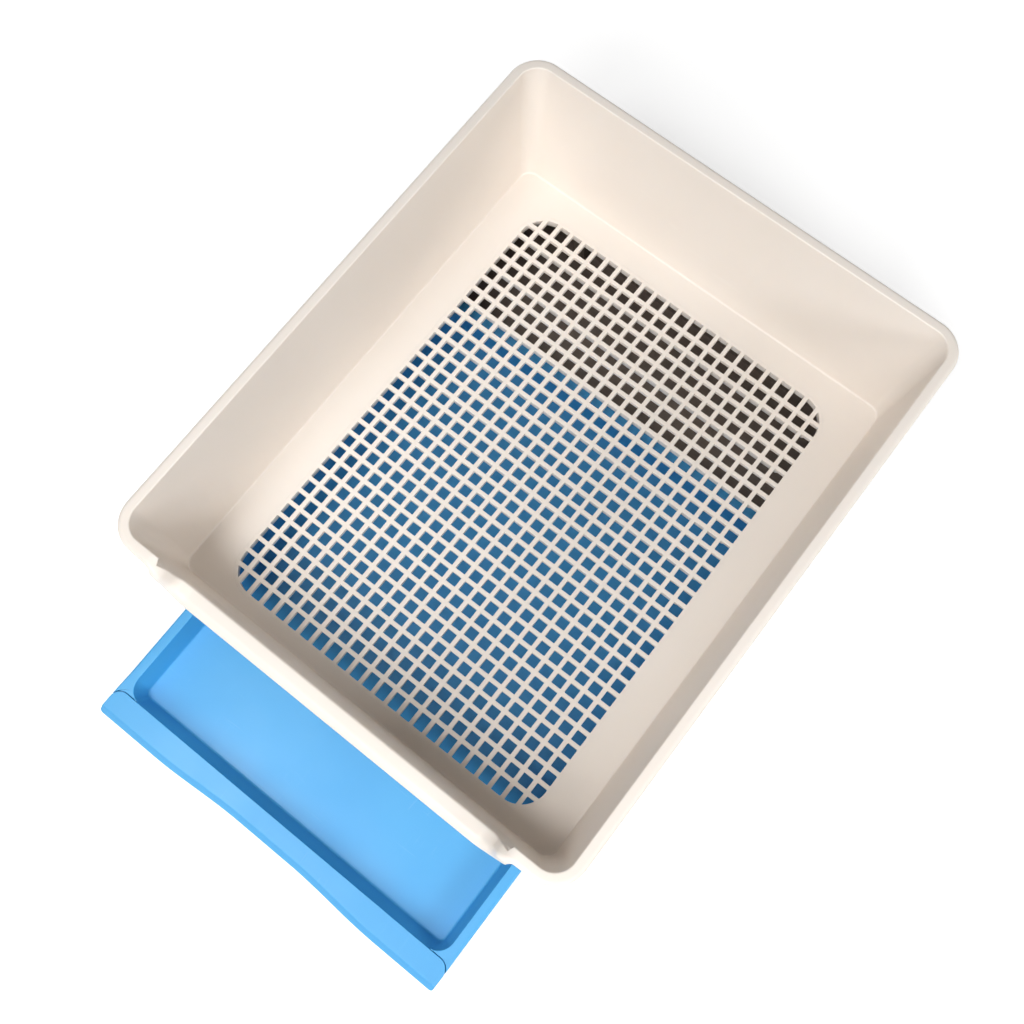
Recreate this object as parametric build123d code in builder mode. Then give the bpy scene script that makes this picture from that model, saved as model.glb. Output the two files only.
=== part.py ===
"""Two-storey cat litter tray: a pan with a sieve floor that stands on a base with a pull-out drawer.

Millimetres, +Z up, the cat's entry and the drawer's mouth towards -Y. The origin is under the middle of the
whole object, on the surface that it stands on, with the drawer drawn out by DRAWER_PULL. Distances along Y
are given from the middle of the sieve, and level() and front() place the sketches there.
"""

import os

from build123d import *

# ------------------------------------------------------------------------------------------------
# Sieve: a grating of square cells, one piece that lies in the floor of the pan
# ------------------------------------------------------------------------------------------------
COLUMNS = 24  # cells across
ROWS = 32  # cells from front to rear
COLUMN_PITCH = 12.0
ROW_PITCH = 11.83
COLUMN_BAR = 3.5  # width of the bars that run front to rear
ROW_BAR = 3.4  # width of the bars that run across
END_CELL = 11.9  # length of the longer cells of the first and the last row
SIEVE_CORNER = 22.0  # radius of the corners of the field of cells
SIEVE_EDGE = 2.6  # plain border round the cells
SIEVE_THICKNESS = 4.0
RIB_DROP = 5.0  # stiffening ribs, below the underside of the grating
RIB_WIDTH = 2.2
RIB_STEP = 3  # every third cross bar carries a rib
RIB_CHAMFER = 2.5
SIEVE_CLEARANCE = 0.3

# ------------------------------------------------------------------------------------------------
# Pan
# ------------------------------------------------------------------------------------------------
PAN_WALL = 2.5
PAN_FLOOR = 3.0
PAN_DEPTH = 114.0  # from the floor to the top of the rim
SIDE_MARGIN = 30.75  # plain floor between the cells and the foot of a side wall
REAR_MARGIN = 25.0
FRONT_MARGIN = 14.0
FLOOR_CORNER = 10.0
FOOT_FILLET = 2.0  # between the floor and the walls
SIDE_FLARE = 8.5  # how far each wall leans out over its height
REAR_FLARE = 17.5
FRONT_FLARE = 5.0
RIM_WIDTH = 8.5
RIM_DROP = 10.0  # height of the turned-down edge
RIM_SKIN = 2.2
RIM_CORNER = 24.0
RIM_OUTER_FILLET = 3.5
RIM_INNER_FILLET = 1.2
LEDGE_THICKNESS = 3.0  # carries the edge of the sieve
COLLAR_WALL = 2.5
COLLAR_DROP = 10.0  # from the top of the floor to the lower edge of the collar round the sieve
SPIGOT_DROP = 6.0  # ring under the floor that centres the pan in the base
SPIGOT_WALL = 2.0
SPIGOT_CLEARANCE = 0.4

# Low entry in the front wall, with a broad rolled lip
ENTRY_HEIGHT = 84.0  # from the floor to the top of the lip
ENTRY_LOW_HALF = 134.0  # half width between the feet of the slopes
ENTRY_TOP_HALF = 142.0  # half width between the tops of the slopes
ENTRY_BEND = 14.0  # radius of the bends of the slopes
LIP_BULGE = 7.0  # how far the lip stands out in front of the rim
LIP_SWING_HALF = 151.0  # half width between the places where the lip has swung back to the rim
LIP_SWING = 26.0  # length over which it swings back
LIP_SWING_BEND = 20.0
LIP_DROP = 12.0
LIP_SKIN = 2.5
LIP_OUTER_FILLET = 6.5
LIP_INNER_FILLET = 1.5

# ------------------------------------------------------------------------------------------------
# Drawer: a tray that hangs by its side flanges, with a grip along its front
# ------------------------------------------------------------------------------------------------
DRAWER_PULL = 99.5  # how far the drawer is drawn out
DRAWER_STANDOFF = 0.5  # from the grip to the base, with the drawer pushed in
TRAY_WALL = 2.5
TRAY_FLOOR = 2.5
TRAY_DEPTH = 21.0
TRAY_HALF = 154.0  # half width of the hollow at its mouth
TRAY_LENGTH = 404.0  # length of the hollow at its mouth
TRAY_FLARE = 6.0
TRAY_CORNER = 14.0
TRAY_FOOT_CORNER = 5.0
TRAY_FOOT_FILLET = 2.0
FLANGE_WIDTH = 8.5
FLANGE_THICKNESS = 2.5
FLANGE_CORNER = 6.0
SEAT_DEPTH = 12.0  # the seat in front of the hollow, on which the grip lies
SEAT_LAP = 3.0  # of the seat, along the side flanges
GRIP_DEPTH = 22.5
GRIP_RISE = 0.5  # above the flanges
GRIP_DROP = 21.0  # below the top of the flanges
GRIP_SKIN = 2.5
GRIP_CLEARANCE = 0.5  # from the rear corners of the grip to the flanges
GRIP_REAR_CORNER = 9.0
GRIP_CHAMFER = 5.0  # along the front
GRIP_HOLLOW_CHAMFER = 3.5
FINGER_DEPTH = 3.6  # shallow recess for the fingers in the middle of the front
FINGER_HALF = 92.0  # half width of the recess
FINGER_FLAT_HALF = 40.0  # half width of its bottom
FINGER_BEND = 400.0

# ------------------------------------------------------------------------------------------------
# Base: an open-fronted box with a runner and a keeper each side
# ------------------------------------------------------------------------------------------------
BASE_WALL = 2.5
BASE_FLOOR = 2.5
BASE_INSET = 1.5  # outer faces, inside the foot of the pan
BASE_FOOT_FILLET = 2.0
DRAWER_FLOAT = 3.0  # room under the tray
SIEVE_GAP = 39.0  # from the flanges of the drawer to the floor of the pan
MOUTH_SIDE_CLEARANCE = 2.5
MOUTH_TOP_CLEARANCE = 3.4
RUNNER_THICKNESS = 3.0
RUNNER_BEARING = 5.5  # width on which a flange bears
RUNNER_CLEARANCE = 0.3  # under the flanges
KEEPER_THICKNESS = 2.5
KEEPER_OVERLAP = 5.0
KEEPER_CLEARANCE = 1.5  # over the flanges
STOP_WIDTH = 12.0  # ribs on the rear wall that end the drawer's inward travel
STOP_SPACING = 220.0
STOP_CLEARANCE = 0.5

# Non-slip pads under the base
PAD_RADIUS = 11.0
PAD_HEIGHT = 2.0
PAD_INSET = 22.0  # from the outer faces of the base to the middle of a pad
PAD_CHAMFER = 0.6

# ------------------------------------------------------------------------------------------------
# Levels and extents that follow from the sizes above
# ------------------------------------------------------------------------------------------------
BASE_BOTTOM = PAD_HEIGHT
BASE_FLOOR_TOP = BASE_BOTTOM + BASE_FLOOR
TRAY_BOTTOM = BASE_FLOOR_TOP + DRAWER_FLOAT
TRAY_FLOOR_TOP = TRAY_BOTTOM + TRAY_FLOOR
FLANGE_TOP = TRAY_FLOOR_TOP + TRAY_DEPTH
FLANGE_BOTTOM = FLANGE_TOP - FLANGE_THICKNESS
PAN_FLOOR_TOP = FLANGE_TOP + SIEVE_GAP
PAN_BOTTOM = PAN_FLOOR_TOP - PAN_FLOOR
SIEVE_BOTTOM = PAN_FLOOR_TOP - SIEVE_THICKNESS
COLLAR_BOTTOM = PAN_FLOOR_TOP - COLLAR_DROP
RIM_TOP = PAN_FLOOR_TOP + PAN_DEPTH
LIP_TOP = PAN_FLOOR_TOP + ENTRY_HEIGHT

SIEVE_HALF = (COLUMNS * COLUMN_PITCH - COLUMN_BAR) / 2
SIEVE_REACH = ((ROWS - 2) * ROW_PITCH + ROW_BAR) / 2 + END_CELL
RIB_HALF = (COLUMNS - 1) * COLUMN_PITCH / 2  # the ribs end in the middle of the outer cells

FLOOR_HALF = SIEVE_HALF + SIDE_MARGIN
FLOOR_FRONT = SIEVE_REACH + FRONT_MARGIN
FLOOR_REAR = SIEVE_REACH + REAR_MARGIN
MOUTH_HALF = FLOOR_HALF + SIDE_FLARE
MOUTH_FRONT = FLOOR_FRONT + FRONT_FLARE
MOUTH_REAR = FLOOR_REAR + REAR_FLARE
RIM_FRONT = MOUTH_FRONT + RIM_WIDTH
RIM_REAR = MOUTH_REAR + RIM_WIDTH
LIP_FRONT = RIM_FRONT + LIP_BULGE
LIP_END = ENTRY_TOP_HALF + LIP_DROP
CUT_TOP = RIM_TOP + RIM_DROP  # the cut for the entry reaches up past the rim

BASE_RIM = PAN_WALL - BASE_INSET  # outer faces of the base, outside the foot of the pan's hollow
BASE_HALF = FLOOR_HALF + BASE_RIM
BASE_FRONT = FLOOR_FRONT + BASE_RIM
BASE_REAR = FLOOR_REAR + BASE_RIM
BASE_CORNER = FLOOR_CORNER + BASE_RIM

GRIP_REAR = BASE_FRONT + DRAWER_STANDOFF + DRAWER_PULL
GRIP_FRONT = GRIP_REAR + GRIP_DEPTH
GRIP_BOTTOM = FLANGE_TOP - GRIP_DROP
GRIP_TOP = FLANGE_TOP + GRIP_RISE
SEAT_TOP = GRIP_TOP - GRIP_SKIN
HOLLOW_FRONT = GRIP_REAR
HOLLOW_REAR = TRAY_LENGTH - HOLLOW_FRONT
FLANGE_HALF = TRAY_HALF + FLANGE_WIDTH
FLANGE_FRONT = HOLLOW_FRONT + SEAT_DEPTH
FLANGE_REAR = HOLLOW_REAR + FLANGE_WIDTH
STOP_REAR = FLANGE_REAR + DRAWER_PULL + STOP_CLEARANCE

# From the middle of the whole object to the middle of the sieve
SIEVE_Y = (GRIP_FRONT - RIM_REAR) / 2

SAME_PLACE = 0.1  # two places closer than this count as one

# A rail grows inwards from the wall on its side.
RAIL_ALIGN = {-1: Align.MIN, 1: Align.MAX}


def level(height: float) -> Plane:
    """A plane that lies level at a height, with its origin over the middle of the sieve."""
    return Plane(origin=(0, SIEVE_Y, height), x_dir=(1, 0, 0), z_dir=(0, 0, 1))


def front(distance: float) -> Plane:
    """An upright plane in front of the middle of the sieve. It faces -Y, and its y is the height."""
    return Plane(origin=(0, SIEVE_Y - distance, 0), x_dir=(1, 0, 0), z_dir=(0, -1, 0))


def outline(half: float, ahead: float, behind: float, radius: float, mode: Mode = Mode.ADD) -> None:
    """Draws a rounded rectangle that reaches ahead of and behind the middle of the sieve."""
    with Locations((0, (behind - ahead) / 2)):
        RectangleRounded(2 * half, ahead + behind, radius, mode=mode)


def sieve_outline(margin: float = 0.0, mode: Mode = Mode.ADD) -> None:
    """Draws the outline of the sieve, or one that lies a margin outside it."""
    grow = SIEVE_EDGE + margin
    outline(SIEVE_HALF + grow, SIEVE_REACH + grow, SIEVE_REACH + grow, SIEVE_CORNER + grow, mode)


def foot_outline(margin: float = 0.0, mode: Mode = Mode.ADD) -> None:
    """Draws the outline of the pan's floor, or one that lies a margin outside it."""
    outline(FLOOR_HALF + margin, FLOOR_FRONT + margin, FLOOR_REAR + margin, FLOOR_CORNER + margin, mode)


def mouth_outline(margin: float = 0.0, mode: Mode = Mode.ADD) -> None:
    """Draws the outline of the pan's mouth at the rim, or one that lies a margin outside it."""
    corner = RIM_CORNER - RIM_WIDTH + margin
    outline(MOUTH_HALF + margin, MOUTH_FRONT + margin, MOUTH_REAR + margin, corner, mode)


def base_outline(margin: float = 0.0, mode: Mode = Mode.ADD) -> None:
    """Draws the outline of the base, or one that lies a margin outside it."""
    outline(BASE_HALF + margin, BASE_FRONT + margin, BASE_REAR + margin, BASE_CORNER + margin, mode)


def hollow_outline(margin: float = 0.0) -> None:
    """Draws the outline of the drawer's hollow at its mouth, or one that lies a margin outside it."""
    outline(TRAY_HALF + margin, HOLLOW_FRONT + margin, HOLLOW_REAR + margin, TRAY_CORNER + margin)


def hollow_foot_outline(margin: float = 0.0) -> None:
    """Draws the outline of the drawer's floor, or one that lies a margin outside it."""
    grow = margin - TRAY_FLARE
    outline(TRAY_HALF + grow, HOLLOW_FRONT + grow, HOLLOW_REAR + grow, TRAY_FOOT_CORNER + margin)


def grip_points(margin: float = 0.0) -> list[tuple[float, float]]:
    """The corners of the grip's outline, or of one that lies a margin outside it, from the left rear on."""
    half = FLANGE_HALF + margin
    rear = margin - GRIP_REAR
    ahead = -GRIP_FRONT - margin
    recess = ahead + FINGER_DEPTH
    left = [(-half, rear), (-half, ahead), (-FINGER_HALF, ahead), (-FINGER_FLAT_HALF, recess)]
    return left + [(-x, y) for x, y in reversed(left)]


def grip_radii(margin: float = 0.0) -> list[float]:
    """The radii at grip_points(). The front corners are sharp."""
    left = [GRIP_REAR_CORNER + margin, 0.0, FINGER_BEND, FINGER_BEND]
    return left + left[::-1]


def front_top_edges(grip: BuildPart) -> ShapeList[Edge]:
    """The edges along the front of the top of the grip or of its hollow."""
    tops = grip.edges().group_by(Axis.Z)[-1].filter_by(Axis.Y, reverse=True)
    return tops.filter_by_position(Axis.Y, SIEVE_Y - GRIP_FRONT, SIEVE_Y - GRIP_FRONT + GRIP_DEPTH / 2)


def lip_edges(lip: BuildPart) -> ShapeList[Edge]:
    """The long edges along the top of the lip, in front and behind, without the seams across it."""
    tops = lip.faces().filter_by(
        lambda face: face.normal_at().Z > SAME_PLACE and abs(face.normal_at().Y) < SAME_PLACE
    )
    along = tops.edges().filter_by(Axis.Y, reverse=True)
    return along.filter_by_position(Axis.X, SAME_PLACE - LIP_END, LIP_END - SAME_PLACE)


# ------------------------------------------------------------------------------------------------
# Sieve
# ------------------------------------------------------------------------------------------------
with BuildSketch(level(SIEVE_BOTTOM)) as cells:
    outline(SIEVE_HALF, SIEVE_REACH, SIEVE_REACH, SIEVE_CORNER)
    with GridLocations(COLUMN_PITCH, 1, COLUMNS - 1, 1):
        Rectangle(COLUMN_BAR, 2 * SIEVE_REACH, mode=Mode.SUBTRACT)
    with GridLocations(1, ROW_PITCH, 1, ROWS - 1):
        Rectangle(2 * SIEVE_HALF, ROW_BAR, mode=Mode.SUBTRACT)

rib_rows = [0]
for row in range(2, ROWS // 2, RIB_STEP):
    rib_rows += [row, -row]
rib_planes = [front(row * ROW_PITCH + RIB_WIDTH / 2) for row in rib_rows]

with BuildPart() as sieve_grid:
    with BuildSketch(level(SIEVE_BOTTOM)):
        sieve_outline()
        add(cells.sketch_local, mode=Mode.SUBTRACT)
    extrude(amount=SIEVE_THICKNESS)
    with BuildSketch(*rib_planes):
        with BuildLine():
            Polyline(
                (-RIB_HALF, SIEVE_BOTTOM),
                (-RIB_HALF + RIB_CHAMFER, SIEVE_BOTTOM - RIB_DROP),
                (RIB_HALF - RIB_CHAMFER, SIEVE_BOTTOM - RIB_DROP),
                (RIB_HALF, SIEVE_BOTTOM),
                close=True,
            )
        make_face()
    extrude(amount=-RIB_WIDTH, clean=False)

# ------------------------------------------------------------------------------------------------
# Pan
# ------------------------------------------------------------------------------------------------
with BuildPart() as cavity:
    with BuildSketch(level(PAN_FLOOR_TOP)):
        foot_outline()
    with BuildSketch(level(RIM_TOP)):
        mouth_outline()
    loft(ruled=True)
    fillet(cavity.edges().group_by(Axis.Z)[0], FOOT_FILLET)

# The hollow of the entry, seen from the front: it opens upwards past the rim.
with BuildSketch(front(0)) as entry:
    with BuildLine():
        sill = FilletPolyline(
            (-RIM_FRONT, RIM_TOP),
            (-ENTRY_TOP_HALF, RIM_TOP),
            (-ENTRY_LOW_HALF, LIP_TOP),
            (ENTRY_LOW_HALF, LIP_TOP),
            (ENTRY_TOP_HALF, RIM_TOP),
            (RIM_FRONT, RIM_TOP),
            radius=ENTRY_BEND,
        )
        Polyline(sill @ 1, (RIM_FRONT, CUT_TOP), (-RIM_FRONT, CUT_TOP), sill @ 0)
    make_face()

# The rolled lip runs straight along the sill and swings back to the line of the rim at both ends.
with BuildPart() as entry_lip:
    with BuildSketch(level(LIP_TOP - LIP_DROP)):
        with BuildLine():
            bulge = FilletPolyline(
                (-LIP_END, -RIM_FRONT),
                (-LIP_SWING_HALF, -RIM_FRONT),
                (-LIP_SWING_HALF + LIP_SWING, -LIP_FRONT),
                (LIP_SWING_HALF - LIP_SWING, -LIP_FRONT),
                (LIP_SWING_HALF, -RIM_FRONT),
                (LIP_END, -RIM_FRONT),
                radius=LIP_SWING_BEND,
            )
            Polyline(bulge @ 1, (LIP_END, -FLOOR_FRONT), (-LIP_END, -FLOOR_FRONT), bulge @ 0)
        make_face()
    extrude(amount=RIM_TOP - LIP_TOP + LIP_DROP)
    with BuildSketch(front(0)):
        add(entry.sketch)
        offset(amount=LIP_DROP)
        add(entry.sketch, mode=Mode.SUBTRACT)
    extrude(amount=2 * RIM_FRONT, mode=Mode.INTERSECT)
    add(cavity.part, mode=Mode.SUBTRACT)
    lip_middle = SIEVE_Y - (RIM_FRONT + MOUTH_FRONT) / 2
    outer_edges = lip_edges(entry_lip).filter_by_position(Axis.Y, -RIM_REAR, lip_middle)
    fillet(outer_edges, LIP_OUTER_FILLET)
    inner_edges = lip_edges(entry_lip).filter_by_position(Axis.Y, lip_middle, RIM_REAR)
    fillet(inner_edges, LIP_INNER_FILLET)

with BuildPart() as lip_hollow:
    with BuildSketch(front(MOUTH_FRONT + PAN_WALL)):
        with Locations((0, LIP_TOP - LIP_SKIN)):
            Rectangle(2 * (ENTRY_LOW_HALF - ENTRY_BEND), LIP_DROP, align=(Align.CENTER, Align.MAX))
    extrude(amount=LIP_FRONT - LIP_SKIN - MOUTH_FRONT - PAN_WALL)
    top_edges = lip_hollow.edges().group_by(Axis.Z)[-1]
    fillet(top_edges.group_by(Axis.Y)[0], LIP_OUTER_FILLET - LIP_SKIN)

with BuildPart() as litter_pan:
    with BuildSketch(level(PAN_BOTTOM)):
        foot_outline(PAN_WALL)
    with BuildSketch(level(RIM_TOP)):
        mouth_outline(PAN_WALL)
    loft(ruled=True)
    with BuildSketch(level(RIM_TOP - RIM_DROP)):
        mouth_outline(RIM_WIDTH)
    extrude(amount=RIM_DROP)
    add(cavity.part, mode=Mode.SUBTRACT)
    rim_face = litter_pan.faces().sort_by(Axis.Z)[-1]
    fillet(rim_face.outer_wire().edges(), RIM_OUTER_FILLET)
    rim_face = litter_pan.faces().sort_by(Axis.Z)[-1]
    fillet(rim_face.inner_wires().edges(), RIM_INNER_FILLET)
    # The turned-down edge of the rim is hollow underneath.
    with BuildSketch(level(RIM_TOP - RIM_DROP)):
        mouth_outline(RIM_WIDTH - RIM_SKIN)
        mouth_outline(PAN_WALL, mode=Mode.SUBTRACT)
    extrude(amount=RIM_DROP - RIM_SKIN, mode=Mode.SUBTRACT)
    # The front wall is cut down to the middle of the lip, which is hollow underneath too.
    with BuildSketch(front(0)):
        add(entry.sketch)
        offset(amount=LIP_DROP / 2)
        Rectangle(2 * (LIP_END - RIM_SKIN), 2 * CUT_TOP, mode=Mode.INTERSECT)
    extrude(amount=2 * RIM_FRONT, mode=Mode.SUBTRACT)
    add(entry_lip.part)
    add(lip_hollow.part, mode=Mode.SUBTRACT)
    # The collar hangs under the floor, round the opening for the sieve, and carries it on a ledge.
    with BuildSketch(level(COLLAR_BOTTOM)):
        sieve_outline(SIEVE_CLEARANCE + COLLAR_WALL)
    extrude(amount=PAN_BOTTOM - COLLAR_BOTTOM)
    with BuildSketch(level(SIEVE_BOTTOM)):
        sieve_outline(SIEVE_CLEARANCE)
    extrude(amount=SIEVE_THICKNESS, mode=Mode.SUBTRACT)
    with BuildSketch(level(COLLAR_BOTTOM)):
        outline(SIEVE_HALF, SIEVE_REACH, SIEVE_REACH, SIEVE_CORNER)
    extrude(amount=COLLAR_DROP, mode=Mode.SUBTRACT)
    with BuildSketch(level(COLLAR_BOTTOM)):
        sieve_outline(SIEVE_CLEARANCE)
    extrude(amount=SIEVE_BOTTOM - LEDGE_THICKNESS - COLLAR_BOTTOM, mode=Mode.SUBTRACT)
    # The spigot under the floor centres the pan inside the walls of the base.
    with BuildSketch(level(PAN_BOTTOM)):
        base_outline(-BASE_WALL - SPIGOT_CLEARANCE)
        base_outline(-BASE_WALL - SPIGOT_CLEARANCE - SPIGOT_WALL, mode=Mode.SUBTRACT)
    extrude(amount=-SPIGOT_DROP)

# ------------------------------------------------------------------------------------------------
# Drawer
# ------------------------------------------------------------------------------------------------
with BuildPart() as hollow:
    with BuildSketch(level(TRAY_FLOOR_TOP)):
        hollow_foot_outline()
    with BuildSketch(level(FLANGE_TOP)):
        hollow_outline()
    loft(ruled=True)
    fillet(hollow.edges().group_by(Axis.Z)[0], TRAY_FOOT_FILLET)

with BuildPart() as drawer_tray:
    with BuildSketch(level(TRAY_BOTTOM)):
        hollow_foot_outline(TRAY_WALL)
    with BuildSketch(level(FLANGE_TOP)):
        hollow_outline(TRAY_WALL)
    loft(ruled=True)
    fillet(drawer_tray.edges().group_by(Axis.Z)[0], TRAY_FOOT_FILLET)
    with BuildSketch(level(FLANGE_BOTTOM)):
        outline(FLANGE_HALF, FLANGE_FRONT, FLANGE_REAR, FLANGE_CORNER)
    extrude(amount=FLANGE_THICKNESS)
    # The seat lies lower than the flanges, so that the grip comes flush with them.
    with BuildSketch(level(SEAT_TOP - FLANGE_THICKNESS)):
        outline(FLANGE_HALF, FLANGE_FRONT, SEAT_LAP - HOLLOW_FRONT, SEAT_LAP)
    extrude(amount=FLANGE_THICKNESS)
    with BuildSketch(level(SEAT_TOP)):
        with BuildLine():
            FilletPolyline(grip_points(GRIP_CLEARANCE), radius=grip_radii(GRIP_CLEARANCE), close=True)
        make_face()
    extrude(amount=GRIP_SKIN, mode=Mode.SUBTRACT)
    add(hollow.part, mode=Mode.SUBTRACT)

with BuildPart() as grip_hollow:
    with BuildSketch(level(GRIP_BOTTOM)):
        with BuildLine():
            FilletPolyline(grip_points(-GRIP_SKIN), radius=grip_radii(-GRIP_SKIN), close=True)
        make_face()
    extrude(amount=GRIP_TOP - GRIP_SKIN - GRIP_BOTTOM)
    chamfer(front_top_edges(grip_hollow), GRIP_HOLLOW_CHAMFER)

# The grip is a shell that is open below. Its top lies on the seat of the tray.
with BuildPart() as drawer_grip:
    with BuildSketch(level(GRIP_BOTTOM)):
        with BuildLine():
            FilletPolyline(grip_points(), radius=grip_radii(), close=True)
        make_face()
    extrude(amount=GRIP_TOP - GRIP_BOTTOM)
    chamfer(front_top_edges(drawer_grip), GRIP_CHAMFER)
    add(grip_hollow.part, mode=Mode.SUBTRACT)
    with BuildSketch(level(GRIP_BOTTOM)):
        with Locations((0, -FLANGE_FRONT)):
            Rectangle(2 * FLANGE_HALF, SEAT_DEPTH, align=(Align.CENTER, Align.MIN))
    extrude(amount=SEAT_TOP - GRIP_BOTTOM, mode=Mode.SUBTRACT)

# ------------------------------------------------------------------------------------------------
# Base
# ------------------------------------------------------------------------------------------------
with BuildPart() as base_box:
    with BuildSketch(level(BASE_BOTTOM)):
        base_outline()
    extrude(amount=PAN_BOTTOM - BASE_BOTTOM)
    fillet(base_box.edges().group_by(Axis.Z)[0], BASE_FOOT_FILLET)
    with BuildSketch(level(BASE_FLOOR_TOP)):
        base_outline(-BASE_WALL)
    extrude(amount=PAN_BOTTOM - BASE_FLOOR_TOP, mode=Mode.SUBTRACT)
    # The mouth for the drawer, between the floor and the front panel
    with BuildSketch(front(BASE_FRONT)):
        with Locations((0, BASE_FLOOR_TOP)):
            Rectangle(
                2 * (FLANGE_HALF + MOUTH_SIDE_CLEARANCE),
                GRIP_TOP + MOUTH_TOP_CLEARANCE - BASE_FLOOR_TOP,
                align=(Align.CENTER, Align.MIN),
            )
    extrude(amount=-BASE_CORNER, mode=Mode.SUBTRACT)
    # Runners under the flanges of the drawer, and keepers over them
    with BuildSketch(front(BASE_FRONT - BASE_CORNER)):
        for side in (-1, 1):
            runner_width = BASE_HALF - BASE_WALL - FLANGE_HALF + RUNNER_BEARING
            with Locations((side * (BASE_HALF - BASE_WALL), FLANGE_BOTTOM - RUNNER_CLEARANCE)):
                Rectangle(runner_width, RUNNER_THICKNESS, align=(RAIL_ALIGN[side], Align.MAX))
            keeper_width = BASE_HALF - BASE_WALL - FLANGE_HALF + KEEPER_OVERLAP
            with Locations((side * (BASE_HALF - BASE_WALL), FLANGE_TOP + KEEPER_CLEARANCE)):
                Rectangle(keeper_width, KEEPER_THICKNESS, align=(RAIL_ALIGN[side], Align.MIN))
    extrude(amount=BASE_CORNER - BASE_FRONT - BASE_REAR + BASE_CORNER)
    # Stop ribs on the rear wall
    with BuildSketch(level(BASE_FLOOR_TOP)):
        with GridLocations(STOP_SPACING, 1, 2, 1):
            with Locations((0, STOP_REAR)):
                Rectangle(STOP_WIDTH, BASE_REAR - BASE_WALL - STOP_REAR, align=(Align.CENTER, Align.MIN))
    extrude(amount=FLANGE_TOP - BASE_FLOOR_TOP)

# ------------------------------------------------------------------------------------------------
# Pads
# ------------------------------------------------------------------------------------------------
pads = {}
for end, pad_y in (("front", PAD_INSET - BASE_FRONT), ("rear", BASE_REAR - PAD_INSET)):
    for side, pad_x in (("left", PAD_INSET - BASE_HALF), ("right", BASE_HALF - PAD_INSET)):
        with BuildPart() as pad:
            with BuildSketch(level(0)):
                with Locations((pad_x, pad_y)):
                    Circle(PAD_RADIUS)
            extrude(amount=PAD_HEIGHT)
            chamfer(pad.edges().group_by(Axis.Z)[0], PAD_CHAMFER)
        pads[f"{end}_{side}_pad"] = pad

# ------------------------------------------------------------------------------------------------
# One STEP file for each piece
# ------------------------------------------------------------------------------------------------
pieces = {
    "litter_pan": litter_pan,
    "sieve_grid": sieve_grid,
    "base_box": base_box,
    "drawer_tray": drawer_tray,
    "drawer_grip": drawer_grip,
    **pads,
}
os.makedirs("parts", exist_ok=True)
for label, piece in pieces.items():
    piece.part.label = label
    export_step(piece.part, f"parts/{label}.step", write_pcurves=False)
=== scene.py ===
"""A two-storey cat litter tray: a cream pan with a sieve floor, on a base with a blue drawer."""
import logging
import math
from collections.abc import Callable, Iterable
from dataclasses import astuple, dataclass, replace
from typing import ClassVar

import bmesh
import bpy
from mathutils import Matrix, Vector


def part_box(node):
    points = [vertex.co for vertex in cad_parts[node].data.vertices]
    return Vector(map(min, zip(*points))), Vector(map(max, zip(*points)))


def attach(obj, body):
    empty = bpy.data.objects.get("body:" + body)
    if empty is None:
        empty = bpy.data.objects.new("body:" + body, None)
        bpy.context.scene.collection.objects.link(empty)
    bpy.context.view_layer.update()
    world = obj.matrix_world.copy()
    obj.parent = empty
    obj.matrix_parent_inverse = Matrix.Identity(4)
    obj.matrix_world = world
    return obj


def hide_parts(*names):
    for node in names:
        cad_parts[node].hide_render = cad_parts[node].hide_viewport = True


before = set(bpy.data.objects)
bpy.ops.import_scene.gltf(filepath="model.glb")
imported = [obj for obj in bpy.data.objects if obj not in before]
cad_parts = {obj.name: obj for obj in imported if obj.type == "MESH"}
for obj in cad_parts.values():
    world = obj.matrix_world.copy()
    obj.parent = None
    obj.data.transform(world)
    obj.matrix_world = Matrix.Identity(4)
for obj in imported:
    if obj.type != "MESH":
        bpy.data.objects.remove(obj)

LOG = logging.getLogger("litter_tray")
SMOOTH_ANGLE = math.radians(32)  # Faces that meet at less than this are shaded as one surface.
SHARP_ANGLE = math.radians(30)  # Edges that bend more than this are softened.
STEEP_ANGLE = math.radians(60)  # Edges that bend more than this are the rim of a cell.
FLAT_WEIGHT = 100  # How strongly large faces steer the shading.
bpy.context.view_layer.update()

Triple = tuple[float, float, float]
Colour = Triple
Ring = list[Vector]
Object = bpy.types.Object
Edge = bmesh.types.BMEdge
Tree = bpy.types.NodeTree
Socket = bpy.types.NodeSocket


# ---- Places read from the frame ----
@dataclass(frozen=True)
class Extent:
    """The box that one node of the frame fills at rest, from its lowest to its highest corner."""

    low: Vector
    high: Vector

    @classmethod
    def of(cls, node: str) -> "Extent":
        """The box of a node, by its name."""
        low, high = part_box(node)
        return cls(Vector(low), Vector(high))

    def outline(self, radius: float) -> "Outline":
        """The box seen from above, with rounded corners."""
        return Outline(self.high.x, MIDDLE_Y - self.low.y, self.high.y - MIDDLE_Y, radius)


PAN = Extent.of("litter_pan")
SIEVE = Extent.of("sieve_grid")
BASE = Extent.of("base_box")
TRAY = Extent.of("drawer_tray")
GRIP = Extent.of("drawer_grip")
MIDDLE_Y = (SIEVE.low.y + SIEVE.high.y) / 2
FLOOR_TOP = SIEVE.high.z


# ---- Selecting and shaping ----
def deselect_all() -> None:
    """Leaves nothing selected, so that an operator acts on nothing but what is picked next."""
    if bpy.context.object and bpy.context.object.mode != "OBJECT":
        bpy.ops.object.mode_set(mode="OBJECT")
    bpy.ops.object.select_all(action="DESELECT")


def hold(*objects: Object) -> None:
    """Selects the objects and nothing else, with the first as the active one."""
    deselect_all()
    for obj in objects:
        obj.select_set(True)
    bpy.context.view_layer.objects.active = objects[0]


def edit(obj: Object) -> bmesh.types.BMesh:
    """Puts one object in edit mode and gives its mesh."""
    hold(obj)
    bpy.ops.object.mode_set(mode="EDIT")
    return bmesh.from_edit_mesh(obj.data)


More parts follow.
